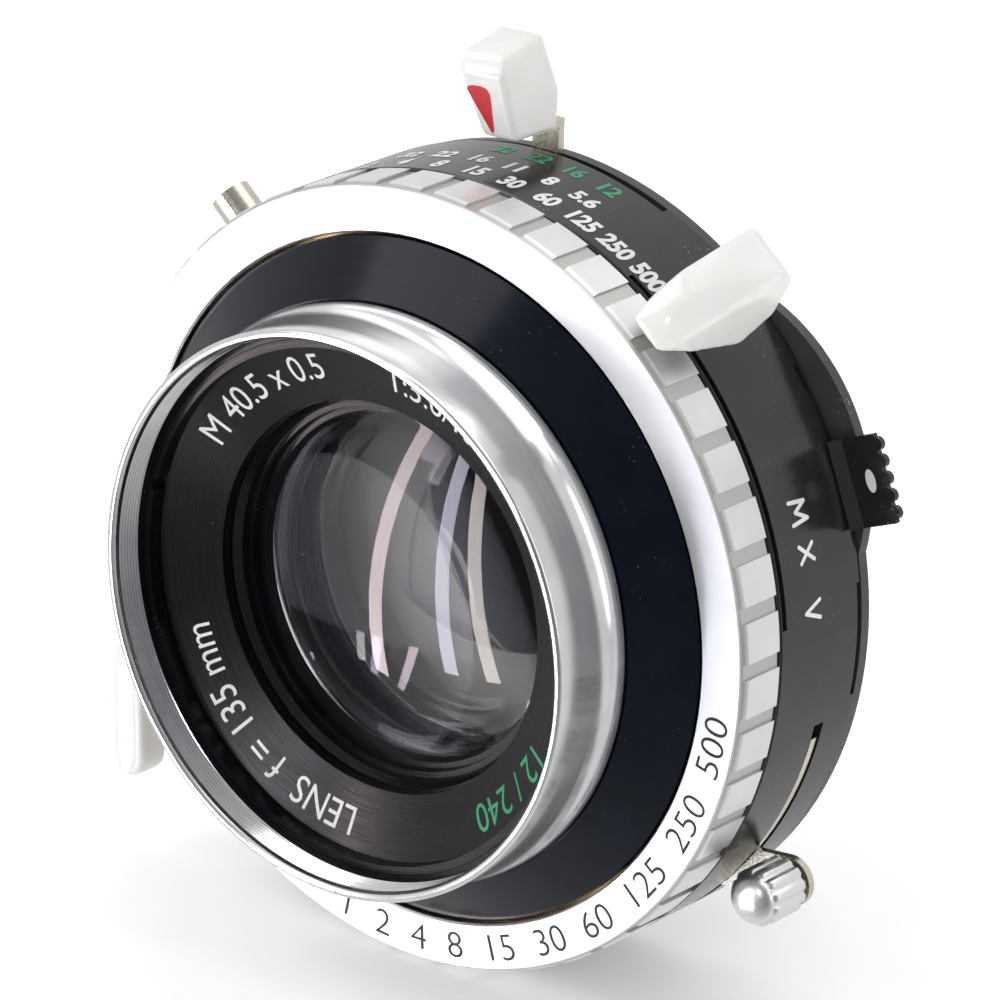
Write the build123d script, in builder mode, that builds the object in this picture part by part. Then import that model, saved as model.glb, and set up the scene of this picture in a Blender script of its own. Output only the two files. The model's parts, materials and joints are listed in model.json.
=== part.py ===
"""View camera lens in a rim-set leaf shutter, size 0.

The optical axis is Y.  The origin is the centre of the rear seat, the face that
rests on the lens board, so the front of the lens is at negative Y and +Z is up.
Angles are measured as seen from the front, anticlockwise from +X.
"""
from build123d import *
from math import asin, cos, degrees, radians, sin
import os

os.makedirs("parts", exist_ok=True)

# Interfaces, from the usual dimensions of a size 0 shutter
SEAT_Y = 0.0
MOUNT_THREAD_R = 16.25
MOUNT_LENGTH = 4.6
CELL_THREAD_R = 14.75
CELL_SPACING = 20.0
FILTER_THREAD_R = 20.25
RIM_R = 21.0

# Case
CASE_R = 29.4
CASE_BORE_R = 28.2
CASE_FRONT = -10.7
CASE_BACK = -1.0
CASE_CHAMFER = 0.2
PLATE_FRONT = -0.9
LEDGE_R = 26.0
LEDGE_FRONT = -2.4
REAR_PLATE_R = 29.2
LOBE_CENTRE_R = 17.0
LOBE_CENTRE_ANGLE = 29.5
LOBE_R = 14.5

# Front
FRONT_SEAT = MOUNT_LENGTH - CELL_SPACING
LIP_Y = -24.7
SHOULDER_Y = -18.1
SHOULDER_R = 21.45
RING_FACE = -15.0
RING_BACK = -10.85
RING_BORE_R = 25.7
PAD_COUNT = 45
GROOVE_DEPTH = 0.22
TUBE_R = 16.2
FIT = 0.05

# Lever angles in the rest position
COCKING_ANGLE = 47.5
APERTURE_ANGLE = 87.6
SYNC_ANGLE = 19.5
FLASH_ANGLE = 137.0
CABLE_ANGLE = 228.0

# Shutter blades and iris blades
BLADE_COUNT = 5
PIVOT_R = 21.5
PIVOT_PIN_R = 0.6
APERTURE_R = 12.2
BLADE_OUTER_R = 20.2
BLADE_DISC_R = 12.6
BLADE_SWING = 33.9
BLADE_START = -18.0
DRIVE_PIN_R = 26.0
DRIVE_PIN_SIZE = 0.5
DRIVE_SWING = 6.0
FORK_DISTANCE = 4.58
SHEET = 0.14
LAYER = 0.22
SHUTTER_FRONT = -5.28
IRIS_FRONT = -3.5

# Iris motion
IRIS_START = 18.0
IRIS_REST = 12.7
IRIS_LEVER_TO_BLADE = 0.676
IRIS_OPEN = 3.2
IRIS_CLOSED = 29.1
IRIS_MID = 16.0
IRIS_PIN_OFFSET = 4.0
IRIS_RING_IN = 19.5
IRIS_RING_OUT = 25.6


def plane_at(y):
    """Drawing plane across the axis; extruding a positive amount runs to the front."""
    return Plane(origin=(0, y, 0), x_dir=(1, 0, 0), z_dir=(0, -1, 0))


def polar(radius, angle):
    """Point at a radius and an angle in a plane across the axis."""
    return (radius * cos(radians(angle)), radius * sin(radians(angle)))


def about(point, pivot, angle):
    """A point turned about a pivot."""
    dx = point[0] - pivot[0]
    dy = point[1] - pivot[1]
    c = cos(radians(angle))
    s = sin(radians(angle))
    return (pivot[0] + c * dx - s * dy, pivot[1] + s * dx + c * dy)


def turned(*outline, mode=Mode.ADD):
    """Revolve an outline of (radius, y) points about the optical axis."""
    with BuildSketch(Plane.XY) as profile:
        with BuildLine():
            Polyline(*outline, close=True)
        make_face()
    revolve(profile.sketch, axis=Axis.Y, mode=mode)


def ring(r_in, r_out, front, back, mode=Mode.ADD):
    """Flat ring between two planes across the axis."""
    with BuildSketch(plane_at(back)) as profile:
        Circle(r_out)
        Circle(r_in, mode=Mode.SUBTRACT)
    extrude(profile.sketch, amount=back - front, mode=mode)


def sector_face(r_in, r_out, start, end, mode=Mode.ADD):
    """Part of a flat ring between two angles."""
    with BuildLine() as outline:
        inner = CenterArc((0, 0), r_in, start, end - start)
        outer = CenterArc((0, 0), r_out, start, end - start)
        Line(inner @ 0, outer @ 0)
        Line(inner @ 1, outer @ 1)
    make_face(outline.edges(), mode=mode)


def sector(r_in, r_out, start, end, front, back, mode=Mode.ADD):
    """Part of a ring with thickness, also used to cut slots."""
    with BuildSketch(plane_at(back)) as profile:
        sector_face(r_in, r_out, start, end)
    extrude(profile.sketch, amount=back - front, mode=mode)


def disc(radius, at, front, back, mode=Mode.ADD):
    """Round boss, stud or hole along the axis direction."""
    with BuildSketch(plane_at(back)) as profile:
        with Locations(at):
            Circle(radius)
    extrude(profile.sketch, amount=back - front, mode=mode)


def finish(part, name):
    """Label a finished sub-part and write its file."""
    part.part.label = name
    export_step(part.part, f"parts/{name}.step")


def lens(name, rim_r, front, back):
    """Glass element: each face is (radius of curvature, vertex y, y of its flat rim).

    A curved face is cut where it reaches its rim, and the rim is a flat step.
    """
    with BuildPart() as glass:
        with BuildSketch(Plane.XY) as profile:
            with BuildLine():
                front_edge = face_edge(*front, rim_r)
                back_edge = face_edge(*back, rim_r)
                Line((0, front[1]), (0, back[1]))
                face_line(front, front_edge, rim_r)
                face_line(back, back_edge, rim_r)
                Line((rim_r, front[2]), (rim_r, back[2]))
            make_face()
        revolve(profile.sketch, axis=Axis.Y)
    finish(glass, name)


def face_edge(curve, vertex, rim_y, rim_r):
    """Radius at which a spherical face meets its flat rim."""
    depth = abs(rim_y - vertex)
    reach = (2 * abs(curve) * depth - depth * depth) ** 0.5
    return min(reach, rim_r)


def face_line(face, edge_r, rim_r):
    """The arc of a spherical face and the flat step outside it."""
    curve, vertex, rim_y = face
    half = degrees(asin(edge_r / abs(curve))) / 2
    middle_r = abs(curve) * sin(radians(half))
    middle_depth = abs(curve) * (1 - cos(radians(half)))
    direction = 1 if rim_y > vertex else -1
    ThreePointArc((0, vertex), (middle_r, vertex + direction * middle_depth), (edge_r, rim_y))
    if rim_r - edge_r > 0.01:
        Line((edge_r, rim_y), (rim_r, rim_y))


# ---------------------------------------------------------------- front cell

NAME_RING_R = 19.7
THREAD_END = -22.1
NAME_RING_OUT_Y = -21.0
NAME_RING_IN_Y = -19.2
NAME_RING_IN_R = 14.6
GLASS_R = 13.3
GLASS_BORE_R = 13.35
BAFFLE_R = 15.6
HUB_R = 17.2
SPIGOT_BACK = -7.7

with BuildPart() as front_barrel:
    turned(
        (RIM_R - 0.45, LIP_Y),
        (RIM_R, LIP_Y + 0.4),
        (RIM_R, LIP_Y + 4.2),
        (SHOULDER_R, SHOULDER_Y - 0.8),
        (SHOULDER_R, SHOULDER_Y),
        (HUB_R, SHOULDER_Y),
        (HUB_R, FRONT_SEAT),
        (CELL_THREAD_R, FRONT_SEAT),
        (CELL_THREAD_R, SPIGOT_BACK),
        (11.3, SPIGOT_BACK),
        (11.3, SPIGOT_BACK - 0.5),
        (GLASS_BORE_R, SPIGOT_BACK - 0.5),
        (GLASS_BORE_R, -15.9),
        (BAFFLE_R, -15.9),
        (BAFFLE_R, -18.25),
        (NAME_RING_R + FIT, -19.85),
        (NAME_RING_R + FIT, THREAD_END),
        (FILTER_THREAD_R, THREAD_END),
        (FILTER_THREAD_R, LIP_Y + 0.35),
    )
finish(front_barrel, "front_barrel")

with BuildPart() as front_retaining_ring:
    ring(19.1, NAME_RING_R, THREAD_END, -21.05)
    with BuildSketch(plane_at(-21.05)):
        with PolarLocations(19.1, 2, start_angle=164):
            Circle(0.45)
    extrude(amount=1.05, mode=Mode.SUBTRACT)
finish(front_retaining_ring, "front_retaining_ring")

with BuildPart() as name_ring:
    turned(
        (NAME_RING_R, NAME_RING_OUT_Y),
        (NAME_RING_R, NAME_RING_OUT_Y + 1.1),
        (NAME_RING_IN_R, NAME_RING_IN_Y + 0.9),
        (NAME_RING_IN_R, NAME_RING_IN_Y),
        (19.5, NAME_RING_OUT_Y),
    )
finish(name_ring, "name_ring")

with BuildPart() as front_baffle:
    turned(
        (14.5, -18.2),
        (BAFFLE_R - FIT, -18.2),
        (BAFFLE_R - FIT, -15.95),
        (GLASS_R, -15.95),
        (GLASS_R, -15.45),
        (13.1, -15.45),
        (12.8, -15.7),
        (13.1, -16.3),
        (13.5, -16.3),
        (13.6, -17.0),
        (14.0, -17.0),
        (14.1, -17.6),
    )
finish(front_baffle, "front_baffle")

lens("front_element_1", GLASS_R, (40.0, -17.6, -15.4), (80.0, -13.1, -14.2))
lens("front_element_2", GLASS_R, (80.0, -13.1, -14.2), (38.0, -12.1, -10.3))
lens("front_element_3", GLASS_R, (30.0, -11.6, -9.2), (60.0, -9.3, -8.22))

with BuildPart() as front_spacer:
    ring(12.2, GLASS_R, -10.28, -9.22)
finish(front_spacer, "front_spacer")

# ----------------------------------------------------------------- rear cell

REAR_GLASS_R = 12.8
REAR_FLANGE_R = 15.9
REAR_END = 14.0

with BuildPart() as rear_barrel:
    turned(
        (10.6, -1.6),
        (CELL_THREAD_R - FIT, -1.6),
        (CELL_THREAD_R - FIT, MOUNT_LENGTH),
        (REAR_FLANGE_R, MOUNT_LENGTH),
        (REAR_FLANGE_R, REAR_END - 0.4),
        (REAR_FLANGE_R - 0.4, REAR_END),
        (13.9, REAR_END),
        (13.9, 6.1),
        (REAR_GLASS_R + FIT, 6.1),
        (REAR_GLASS_R + FIT, -1.2),
        (10.6, -1.2),
    )
finish(rear_barrel, "rear_barrel")

lens("rear_element_4", REAR_GLASS_R, (60.0, -0.25, -1.18), (30.0, 2.0, -0.1))
lens("rear_element_5", REAR_GLASS_R, (38.0, 2.6, 1.0), (80.0, 3.6, 4.6))
lens("rear_element_6", REAR_GLASS_R, (80.0, 3.6, 4.6), (42.0, 8.0, 6.05))

with BuildPart() as rear_spacer:
    ring(11.8, REAR_GLASS_R, -0.08, 0.98)
finish(rear_spacer, "rear_spacer")

with BuildPart() as rear_retaining_ring:
    turned(
        (12.3, 6.4),
        (12.75, 6.12),
        (13.85, 6.12),
        (13.85, 11.5),
        (13.3, 11.5),
        (12.9, 8.8),
        (12.3, 8.2),
    )
    with BuildSketch(Plane.XZ.offset(-11.5)):
        with PolarLocations(13.6, 2):
            Rectangle(1.4, 1.2)
    extrude(amount=0.9, mode=Mode.SUBTRACT)
finish(rear_retaining_ring, "rear_retaining_ring")

# ---------------------------------------------------------------------- case

COCKING_SLOT = (3.6, 58.0)
RELEASE_SLOT = (-66.0, -13.5)
APERTURE_SLOT = (66.0, 120.0)
SYNC_SLOT = (-11.0, 37.0)
PREVIEW_SLOT = (184.0, 214.0)
LEVER_SLOT_FRONT = -10.45
LEVER_SLOT_BACK = -9.95
APERTURE_GAP_FRONT = -1.85
SYNC_GAP_FRONT = -1.68
FLASH_Y = -7.0
FLASH_R = 1.55
INSULATOR_R = 1.1
CABLE_Y = -6.6
CABLE_R = 2.5
SCREW_ANGLES = (150.0, 215.0, 270.0, 310.0)
SCREW_CIRCLE = 27.0
SCREW_R = 0.5
SCREW_HEAD_R = 0.9


def radial_plane(angle, y, radius):
    """Plane facing outward at a place on the case wall."""
    x, z = polar(radius, angle)
    nx, nz = polar(1, angle)
    return Plane(origin=(x, y, z), x_dir=(0, 1, 0), z_dir=(nx, 0, nz))


def side_plane(angle):
    """Plane through the axis at an angle, for outlines of (y, radius)."""
    return Plane(origin=(0, 0, 0), x_dir=(0, 1, 0), z_dir=(sin(radians(angle)), 0, -cos(radians(angle))))


with BuildPart() as case_body:
    turned(
        (CASE_BORE_R, CASE_FRONT),
        (CASE_R - CASE_CHAMFER, CASE_FRONT),
        (CASE_R, CASE_FRONT + CASE_CHAMFER),
        (CASE_R, CASE_BACK - CASE_CHAMFER),
        (CASE_R - CASE_CHAMFER, CASE_BACK),
        (CASE_BORE_R, CASE_BACK),
    )
    ring(LEDGE_R, CASE_BORE_R, LEDGE_FRONT, PLATE_FRONT)
    sector(LEDGE_R - 1, 31, *APERTURE_SLOT, APERTURE_GAP_FRONT, PLATE_FRONT, Mode.SUBTRACT)
    sector(LEDGE_R - 1, 31, *SYNC_SLOT, SYNC_GAP_FRONT, PLATE_FRONT, Mode.SUBTRACT)
    sector(27, 31, *COCKING_SLOT, LEVER_SLOT_FRONT, LEVER_SLOT_BACK, Mode.SUBTRACT)
    sector(27, 31, *PREVIEW_SLOT, LEVER_SLOT_FRONT, LEVER_SLOT_BACK, Mode.SUBTRACT)
    sector(27, 31, *RELEASE_SLOT, -5.5, -4.4, Mode.SUBTRACT)
    with BuildSketch(radial_plane(FLASH_ANGLE, FLASH_Y, CASE_BORE_R - 1)):
        Circle(INSULATOR_R)
    extrude(amount=3, mode=Mode.SUBTRACT)
    with BuildSketch(radial_plane(CABLE_ANGLE, CABLE_Y, CASE_BORE_R - 1)):
        Circle(CABLE_R)
    extrude(amount=4, mode=Mode.SUBTRACT)
    with BuildSketch(plane_at(PLATE_FRONT)):
        for angle in SCREW_ANGLES:
            with Locations(polar(SCREW_CIRCLE, angle)):
                Circle(SCREW_R)
    extrude(amount=0.7, mode=Mode.SUBTRACT)
finish(case_body, "case_body")

with BuildPart() as rear_plate:
    with BuildSketch(plane_at(SEAT_Y)):
        Circle(REAR_PLATE_R)
        with Locations(polar(LOBE_CENTRE_R, LOBE_CENTRE_ANGLE)):
            Circle(LOBE_R)
        Circle(CELL_THREAD_R, mode=Mode.SUBTRACT)
    extrude(amount=SEAT_Y - PLATE_FRONT)
    ring(CELL_THREAD_R, MOUNT_THREAD_R, SEAT_Y, MOUNT_LENGTH)
    for angle in SCREW_ANGLES:
        disc(SCREW_R, polar(SCREW_CIRCLE, angle), PLATE_FRONT, SEAT_Y, Mode.SUBTRACT)
        disc(SCREW_HEAD_R, polar(SCREW_CIRCLE, angle), SEAT_Y - 0.45, SEAT_Y, Mode.SUBTRACT)
finish(rear_plate, "rear_plate")

with BuildPart() as rear_screws:
    for angle in SCREW_ANGLES:
        disc(SCREW_R, polar(SCREW_CIRCLE, angle), PLATE_FRONT - 0.65, -0.4)
        disc(SCREW_HEAD_R, polar(SCREW_CIRCLE, angle), -0.45, -0.05)
    with BuildSketch(plane_at(SEAT_Y)):
        for angle in SCREW_ANGLES:
            with Locations(Location((*polar(SCREW_CIRCLE, angle), 0), (0, 0, angle + 40))):
                Rectangle(0.3, 2)
    extrude(amount=0.25, mode=Mode.SUBTRACT)
finish(rear_screws, "rear_screws")

TUBE_BACK = -7.4
FRONT_PLATE_FRONT = -10.75
FRONT_PLATE_BACK = -10.45

with BuildPart() as front_plate:
    ring(CELL_THREAD_R, TUBE_R, FRONT_SEAT, TUBE_BACK)
    ring(CELL_THREAD_R, CASE_BORE_R, FRONT_PLATE_FRONT, FRONT_PLATE_BACK)
finish(front_plate, "front_plate")

COVER_TOP_R = 21.6
COVER_TOP_Y = -17.9
COVER_R = RING_BORE_R - 0.25

with BuildPart() as front_cover:
    turned(
        (COVER_TOP_R, COVER_TOP_Y),
        (COVER_R, -14.8),
        (COVER_R, -14.2),
        (TUBE_R + FIT, -14.2),
        (TUBE_R + FIT, -14.9),
        (20.9, -14.9),
        (20.9, COVER_TOP_Y),
    )
finish(front_cover, "front_cover")

with BuildPart() as cover_lock_ring:
    ring(TUBE_R + FIT, 18.8, -15.3, -14.92)
    with BuildSketch(plane_at(-14.92)):
        with PolarLocations(18.8, 4):
            Rectangle(1.2, 1.2)
    extrude(amount=0.4, mode=Mode.SUBTRACT)
finish(cover_lock_ring, "cover_lock_ring")

# ---------------------------------------------------------------- speed ring

GROOVE_WIDTH = 1.15
CAM_FRONT = -11.4
CAM_BACK = -10.95

with BuildPart() as speed_ring:
    turned(
        (RING_BORE_R + 0.15, RING_FACE),
        (CASE_R - 0.35, RING_FACE),
        (CASE_R, RING_FACE + 0.6),
        (CASE_R, RING_BACK),
        (RING_BORE_R, RING_BACK),
        (RING_BORE_R, RING_FACE + 0.15),
    )
    with BuildSketch(plane_at(RING_BACK)):
        with PolarLocations(CASE_R, PAD_COUNT):
            Rectangle(2 * GROOVE_DEPTH, GROOVE_WIDTH)
    extrude(amount=RING_BACK - RING_FACE - 0.2, mode=Mode.SUBTRACT)
finish(speed_ring, "speed_ring")

with BuildPart() as speed_cam_disc:
    ring(17.0, RING_BORE_R, CAM_FRONT, CAM_BACK)
    sector(18.2, 19.6, 60, 125, CAM_FRONT, CAM_BACK, Mode.SUBTRACT)
    sector(21.6, 23.0, 190, 262, CAM_FRONT, CAM_BACK, Mode.SUBTRACT)
finish(speed_cam_disc, "speed_cam_disc")

# -------------------------------------------------------------- blade plates

BLADE_PLATE_FRONT = -5.8
BLADE_PLATE_BACK = -5.4
IRIS_PLATE_FRONT = -4.0
IRIS_PLATE_BACK = -3.65
RELEASE_GAP = (-76.0, -8.0)
RELEASE_PIVOT = polar(25.0, -66.0)
RELEASE_STUD_R = 0.9
PLATE_HOLE_R = 12.4

blade_angles = [BLADE_START + 72 * number for number in range(BLADE_COUNT)]
iris_angles = [IRIS_START + 72 * number for number in range(BLADE_COUNT)]

with BuildPart() as blade_plate:
    ring(PLATE_HOLE_R, CASE_BORE_R, BLADE_PLATE_FRONT, BLADE_PLATE_BACK)
    for angle in blade_angles:
        sector(25.2, 26.8, angle - 6, angle + 6, BLADE_PLATE_FRONT, BLADE_PLATE_BACK, Mode.SUBTRACT)
        disc(PIVOT_PIN_R, polar(PIVOT_R, angle), BLADE_PLATE_BACK, IRIS_PLATE_FRONT)
    disc(RELEASE_STUD_R, RELEASE_PIVOT, BLADE_PLATE_BACK, IRIS_PLATE_FRONT)
finish(blade_plate, "blade_plate")

with BuildPart() as blade_spacer:
    sector(27.5, CASE_BORE_R, RELEASE_GAP[1], RELEASE_GAP[0] + 360, BLADE_PLATE_BACK, IRIS_PLATE_FRONT)
finish(blade_spacer, "blade_spacer")

with BuildPart() as iris_plate:
    ring(PLATE_HOLE_R, CASE_BORE_R, IRIS_PLATE_FRONT, IRIS_PLATE_BACK)
    for angle in iris_angles:
        disc(PIVOT_PIN_R, polar(PIVOT_R, angle), IRIS_PLATE_BACK, -2.35)
finish(iris_plate, "iris_plate")

with BuildPart() as iris_spacer:
    ring(27.0, CASE_BORE_R, IRIS_PLATE_BACK, LEDGE_FRONT)
finish(iris_spacer, "iris_spacer")

# ------------------------------------------------------------ shutter blades


def blade_face(pivot_angle, swing):
    """Sickle blade, turned about its pivot from the fully open place.

    The blade is what is left of a disc outside the aperture and inside the ring
    of pivots, and a tail joins it to its pivot.
    """
    pivot = polar(PIVOT_R, pivot_angle)
    reach = 2 * PIVOT_R * sin(radians(BLADE_SWING / 2))
    open_centre = polar(reach, pivot_angle - 90 + BLADE_SWING / 2)
    with Locations(about(open_centre, pivot, swing)):
        Circle(BLADE_DISC_R)
    with Locations(about((0, 0), pivot, swing)):
        Circle(BLADE_OUTER_R, mode=Mode.INTERSECT)
        Circle(APERTURE_R, mode=Mode.SUBTRACT)
    bar(pivot, pivot_angle + 180 + BLADE_SWING + swing, 9.4, 2.6)
    with Locations(pivot):
        Circle(1.5)


def bar(start, angle, length, width, mode=Mode.ADD):
    """Straight strip that leaves a point at an angle."""
    with Locations(Location((*start, 0), (0, 0, angle))):
        Rectangle(length, width, align=(Align.MIN, Align.CENTER), mode=mode)


def pivot_hole(pivot_angle):
    """Running hole for the blade's pivot pin."""
    with Locations(polar(PIVOT_R, pivot_angle)):
        Circle(PIVOT_PIN_R + FIT, mode=Mode.SUBTRACT)


def blade_back(front, number):
    """Rear face of a blade, each blade in a layer of its own."""
    return front + LAYER * number + SHEET


for number, angle in enumerate(blade_angles):
    fork_angle = angle + BLADE_SWING / 2
    pivot = polar(PIVOT_R, angle)
    fork = about((pivot[0] + FORK_DISTANCE, pivot[1]), pivot, fork_angle)
    with BuildPart() as shutter_blade:
        with BuildSketch(plane_at(blade_back(SHUTTER_FRONT, number))):
            blade_face(angle, 0)
            bar(pivot, fork_angle, 5.8, 2.2)
            pivot_hole(angle)
            with Locations(Location((*fork, 0), (0, 0, fork_angle))):
                SlotOverall(1.5, 2 * DRIVE_PIN_SIZE + 0.12, mode=Mode.SUBTRACT)
        extrude(amount=SHEET)
    finish(shutter_blade, f"shutter_blade_{number + 1}")

DRIVE_RING_FRONT = -6.5
DRIVE_RING_BACK = -6.0

with BuildPart() as blade_drive_ring:
    ring(24.4, 27.3, DRIVE_RING_FRONT, DRIVE_RING_BACK)
    sector(23.2, 24.5, 170, 176, DRIVE_RING_FRONT, DRIVE_RING_BACK)
    for number, angle in enumerate(blade_angles):
        pin_end = blade_back(SHUTTER_FRONT, number) + 0.02
        disc(DRIVE_PIN_SIZE, polar(DRIVE_PIN_R, angle + DRIVE_SWING / 2), DRIVE_RING_BACK, pin_end)
finish(blade_drive_ring, "blade_drive_ring")

# -------------------------------------------------------------------- iris

IRIS_RING_FRONT = -2.25
IRIS_RING_BACK = -1.7
IRIS_PIN_R = 0.4


def iris_pin(pivot_angle, turned_in):
    """Place of an iris blade's drive pin when the blade has turned in by an angle."""
    pivot = polar(PIVOT_R, pivot_angle)
    offset = polar(IRIS_PIN_OFFSET, pivot_angle + 90 + IRIS_MID - turned_in)
    return (pivot[0] + offset[0], pivot[1] + offset[1])


def cam_point(pivot_angle, turned_in):
    """The same place, as a point of the iris ring in its rest position."""
    ring_turn = (turned_in - IRIS_REST) / IRIS_LEVER_TO_BLADE
    return about(iris_pin(pivot_angle, turned_in), (0, 0), -ring_turn)


for number, angle in enumerate(iris_angles):
    back = blade_back(IRIS_FRONT, number)
    with BuildPart() as iris_blade:
        with BuildSketch(plane_at(back)):
            blade_face(angle, -IRIS_REST)
            with Locations(iris_pin(angle, IRIS_REST)):
                Circle(0.9)
            bar(polar(PIVOT_R, angle), angle + 90 + IRIS_MID - IRIS_REST, IRIS_PIN_OFFSET, 1.6)
            pivot_hole(angle)
        extrude(amount=SHEET)
        disc(IRIS_PIN_R, iris_pin(angle, IRIS_REST), back, IRIS_RING_BACK - 0.05)
    finish(iris_blade, f"iris_blade_{number + 1}")

CAM_STEPS = 6
CAM_RUN_OUT = 0.8
CAM_WIDTH = 1.0

with BuildPart() as iris_ring:
    with BuildSketch(plane_at(IRIS_RING_BACK)):
        Circle(IRIS_RING_OUT)
        Circle(IRIS_RING_IN, mode=Mode.SUBTRACT)
        for angle in iris_angles:
            first = IRIS_OPEN - CAM_RUN_OUT
            stride = (IRIS_CLOSED + CAM_RUN_OUT - first) / CAM_STEPS
            with BuildLine() as cam:
                Spline(*[cam_point(angle, first + stride * step) for step in range(CAM_STEPS + 1)])
            trace(cam.line, line_width=CAM_WIDTH, mode=Mode.SUBTRACT)
    extrude(amount=IRIS_RING_BACK - IRIS_RING_FRONT)
finish(iris_ring, "iris_ring")

ARM_BACK = -1.1
ARM_WIDTH = 2.4
TONGUE_R = 31.35
TONGUE_THICKNESS = 0.6
TONGUE_LENGTH = 3.4

with BuildPart() as aperture_lever:
    with BuildSketch(plane_at(ARM_BACK)):
        sector_face(23.4, 25.4, APERTURE_ANGLE - 14, APERTURE_ANGLE + 14)
        bar(polar(23.8, APERTURE_ANGLE), APERTURE_ANGLE, TONGUE_R + TONGUE_THICKNESS - 23.8, ARM_WIDTH)
    extrude(amount=ARM_BACK - IRIS_RING_BACK)
    with BuildSketch(plane_at(ARM_BACK)):
        bar(polar(TONGUE_R, APERTURE_ANGLE), APERTURE_ANGLE, TONGUE_THICKNESS, ARM_WIDTH)
    extrude(amount=TONGUE_LENGTH)
finish(aperture_lever, "aperture_lever")

KNOB_X = 0.85
KNOB_HALF_WIDTH = 2.15

with BuildPart() as aperture_knob:
    with BuildSketch(Plane.YZ.offset(KNOB_X)):
        with BuildLine():
            Polyline(
                (-7.0, 31.2),
                (-8.8, 36.9),
                (-8.4, 37.8),
                (-4.0, 38.8),
                (-3.3, 38.4),
                (-2.5, 34.3),
                (-3.0, 31.2),
                close=True,
            )
        make_face()
    extrude(amount=KNOB_HALF_WIDTH, both=True)
    sides = aperture_knob.faces().filter_by(Axis.X)
    chamfer(sides.edges(), 0.4)
    with BuildSketch(plane_at(ARM_BACK)):
        bar(polar(TONGUE_R, APERTURE_ANGLE), APERTURE_ANGLE, TONGUE_THICKNESS, ARM_WIDTH)
    extrude(amount=TONGUE_LENGTH, mode=Mode.SUBTRACT)
finish(aperture_knob, "aperture_knob")

# ------------------------------------------------------------ cocking lever

COCKING_FRONT = -10.4
COCKING_BACK = -10.0
TIP_HALF_WIDTH = 3.3
tip_out = polar(1, COCKING_ANGLE)
tip_base = polar(31.0, COCKING_ANGLE)
tip_plan_plane = Plane(
    origin=(tip_base[0], 0, tip_base[1]),
    x_dir=(0, 1, 0),
    z_dir=(tip_out[0], 0, tip_out[1]),
)

with BuildPart() as cocking_lever:
    with BuildSketch(plane_at(COCKING_BACK)):
        Circle(19.8)
        bar(polar(18.5, COCKING_ANGLE), COCKING_ANGLE, 14.5, 3.0)
        Circle(TUBE_R + 0.1, mode=Mode.SUBTRACT)
    extrude(amount=COCKING_BACK - COCKING_FRONT)
finish(cocking_lever, "cocking_lever")

with BuildPart() as cocking_tip:
    with BuildSketch(side_plane(COCKING_ANGLE)):
        with BuildLine():
            Polyline(
                (-16.0, 31.2),
                (-16.0, 33.9),
                (-13.5, 35.4),
                (-7.6, 38.2),
                (-6.2, 37.4),
                (-6.0, 33.6),
                (-8.0, 31.3),
                close=True,
            )
        make_face()
    extrude(amount=TIP_HALF_WIDTH, both=True)
    with BuildSketch(tip_plan_plane):
        with BuildLine():
            Polyline(
                (-16.0, 1.7),
                (-13.2, 2.4),
                (-8.2, TIP_HALF_WIDTH),
                (-6.0, 2.8),
                (-6.0, -2.8),
                (-8.2, -TIP_HALF_WIDTH),
                (-13.2, -2.4),
                (-16.0, -1.7),
                close=True,
            )
        make_face()
    extrude(amount=8, mode=Mode.INTERSECT)
    with BuildSketch(plane_at(COCKING_BACK)):
        bar(polar(30.0, COCKING_ANGLE), COCKING_ANGLE, 3.0, 3.0)
    extrude(amount=COCKING_BACK - COCKING_FRONT, mode=Mode.SUBTRACT)
finish(cocking_tip, "cocking_tip")

SPRING_R = 17.6
SPRING_WIRE_R = 0.28
SPRING_PITCH = 0.65
SPRING_TURNS = 2.5
SPRING_START = (0, -9.0, 0)

with BuildPart() as main_spring:
    with BuildLine() as coil:
        Helix(SPRING_PITCH, SPRING_PITCH * SPRING_TURNS, SPRING_R, SPRING_START, (0, 1, 0))
    with BuildSketch(Plane(origin=coil.line @ 0, z_dir=coil.line % 0)):
        Circle(SPRING_WIRE_R)
    sweep()
finish(main_spring, "main_spring")

# ------------------------------------------------------------ release lever

RELEASE_FRONT = -5.25
RELEASE_BACK = -4.65
RELEASE_KNOB = polar(32.7, -36.4)
RELEASE_KNOB_R = 2.15
RELEASE_ELBOW = polar(27.2, -46.0)
FLUTE_COUNT = 12


def link(start, start_r, end, end_r, front, back, mode=Mode.ADD):
    """Flat link with round ends."""
    with BuildSketch(plane_at(back)) as profile:
        with Locations(start):
            Circle(start_r)
        with Locations(end):
            Circle(end_r)
        make_hull()
    extrude(profile.sketch, amount=back - front, mode=mode)


with BuildPart() as release_lever:
    link(RELEASE_PIVOT, 1.8, RELEASE_ELBOW, 1.6, RELEASE_FRONT, RELEASE_BACK)
    link(RELEASE_ELBOW, 1.6, RELEASE_KNOB, 1.9, RELEASE_FRONT, RELEASE_BACK)
    sector(28.4, CASE_R - 0.1, -48, -16, RELEASE_FRONT, RELEASE_BACK)
    disc(RELEASE_STUD_R + FIT, RELEASE_PIVOT, RELEASE_FRONT, RELEASE_BACK, Mode.SUBTRACT)
finish(release_lever, "release_lever")

with BuildPart() as release_knob:
    disc(RELEASE_KNOB_R - 0.35, RELEASE_KNOB, -10.3, RELEASE_FRONT)
    with BuildSketch(plane_at(-5.9)):
        with Locations(RELEASE_KNOB):
            Circle(RELEASE_KNOB_R)
            with PolarLocations(RELEASE_KNOB_R + 0.15, FLUTE_COUNT):
                Circle(0.3, mode=Mode.SUBTRACT)
    extrude(amount=3.4)
    chamfer(release_knob.faces().sort_by(Axis.Y)[0].edges(), 0.5)
finish(release_knob, "release_knob")

# --------------------------------------------------------------- sync lever

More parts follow.
